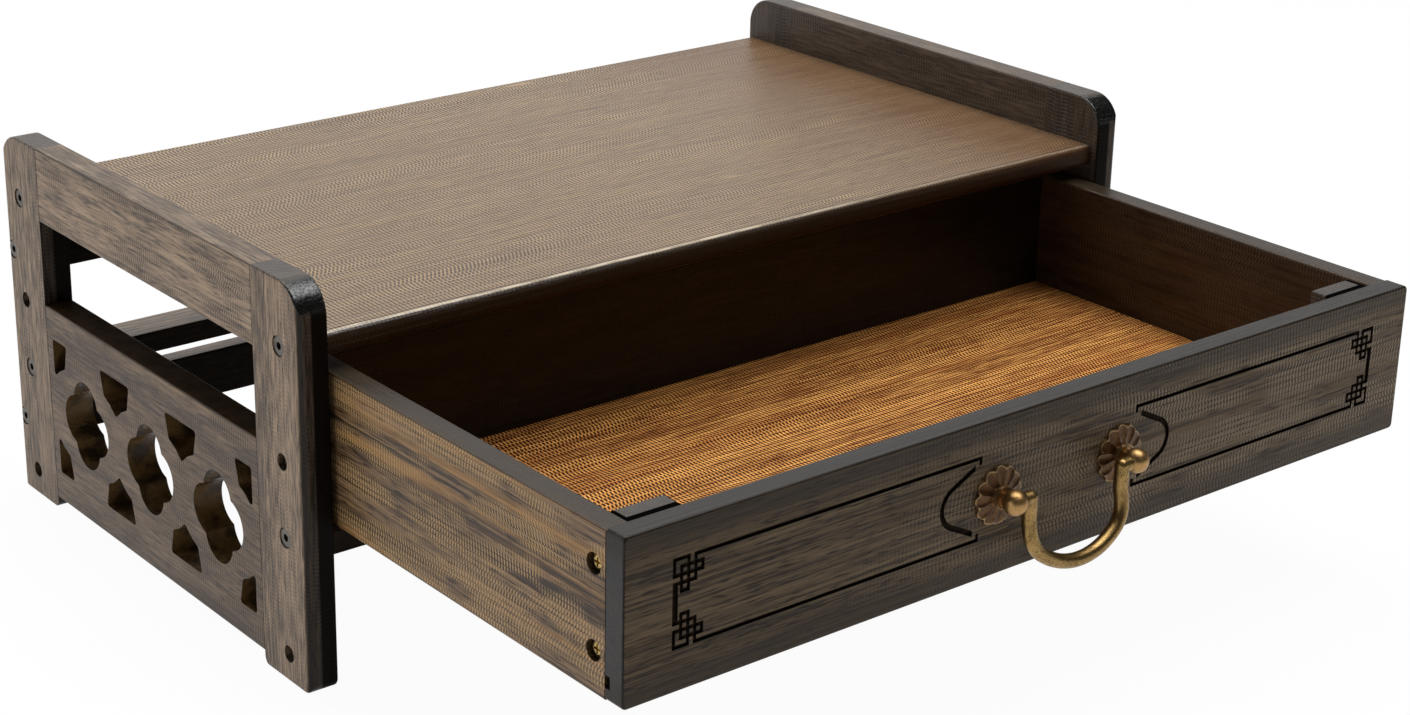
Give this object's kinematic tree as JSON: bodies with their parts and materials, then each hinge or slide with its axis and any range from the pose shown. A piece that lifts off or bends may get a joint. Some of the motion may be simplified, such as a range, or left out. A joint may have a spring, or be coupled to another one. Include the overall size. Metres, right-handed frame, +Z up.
{
  "type": "laptop stand with drawer",
  "caption": "Low bamboo desk stand with pierced side frames, a shelf for a laptop or screen, and a sliding drawer with a carved front and a drop bail handle.",
  "frame": {"origin": "middle of the whole outline, drawer drawn out, on the surface that the feet stand on", "axes": "+X to the right of someone facing the drawer, +Y to the back (the drawer opens along -Y), +Z up, square to the shelf"},
  "size_m": [0.44, 0.444, 0.168],
  "materials": {
    "frame_bamboo": "grey-brown stained bamboo, satin lacquer",
    "fretwork_bamboo": "grey-brown stained bamboo, satin lacquer, pierced",
    "shelf_bamboo": "brown stained bamboo, satin lacquer",
    "drawer_front_bamboo": "dark grey-brown stained bamboo, laser-carved, satin lacquer",
    "drawer_bamboo": "brown stained bamboo, satin lacquer",
    "floor_bamboo": "golden-brown bamboo mat board",
    "block_bamboo": "near-black stained bamboo",
    "dowel_wood": "plain wood",
    "bolt_steel": "dark nickelled steel",
    "insert_brass": "plain brass",
    "bronzed_screw": "bronzed steel",
    "brass_screw": "brass plated steel",
    "rosette_brass": "antique brass, dark in the hollows",
    "stud_brass": "antique brass, rubbed bright",
    "bail_brass": "antique brass with dark speckle"
  },
  "bodies": {
    "carcass": {"left_front_post": "frame_bamboo", "left_rear_post": "frame_bamboo", "right_front_post": "frame_bamboo", "right_rear_post": "frame_bamboo", "left_top_rail": "frame_bamboo", "right_top_rail": "frame_bamboo", "left_fret_panel": "fretwork_bamboo", "right_fret_panel": "fretwork_bamboo", "left_runner": "frame_bamboo", "right_runner": "frame_bamboo", "shelf_board": "shelf_bamboo", "upper_back_rail": "frame_bamboo", "lower_back_rail": "frame_bamboo", "front_bearer": "frame_bamboo", "rear_bearer": "frame_bamboo", "frame_bolts": "bolt_steel", "threaded_inserts": "insert_brass", "tenon_screws": "bronzed_screw", "rail_dowels": "dowel_wood", "runner_dowels": "dowel_wood"},
    "drawer": {"drawer_front": "drawer_front_bamboo", "drawer_back": "drawer_bamboo", "drawer_floor": "floor_bamboo", "drawer_left_side": "drawer_bamboo", "drawer_right_side": "drawer_bamboo", "left_corner_block": "block_bamboo", "right_corner_block": "block_bamboo", "left_rosette": "rosette_brass", "right_rosette": "rosette_brass", "left_ball_stud": "stud_brass", "right_ball_stud": "stud_brass", "corner_block_screws": "brass_screw", "drawer_back_screws": "brass_screw", "front_dowels": "dowel_wood", "handle_screws": "brass_screw"},
    "bail": {"handle_bail": "bail_brass"}
  },
  "joints": [
    {"name": "drawer_slide", "type": "slide", "parent": "carcass", "child": "drawer", "axis": [0, -1, 0], "range_m": [-0.1775, 0.015]},
    {"name": "bail_swing", "type": "hinge", "parent": "drawer", "child": "bail", "pos_m": [0, -0.21493, 0.10025], "axis": [-1, 0, 0], "range_deg": [-20, 180]}
  ]
}
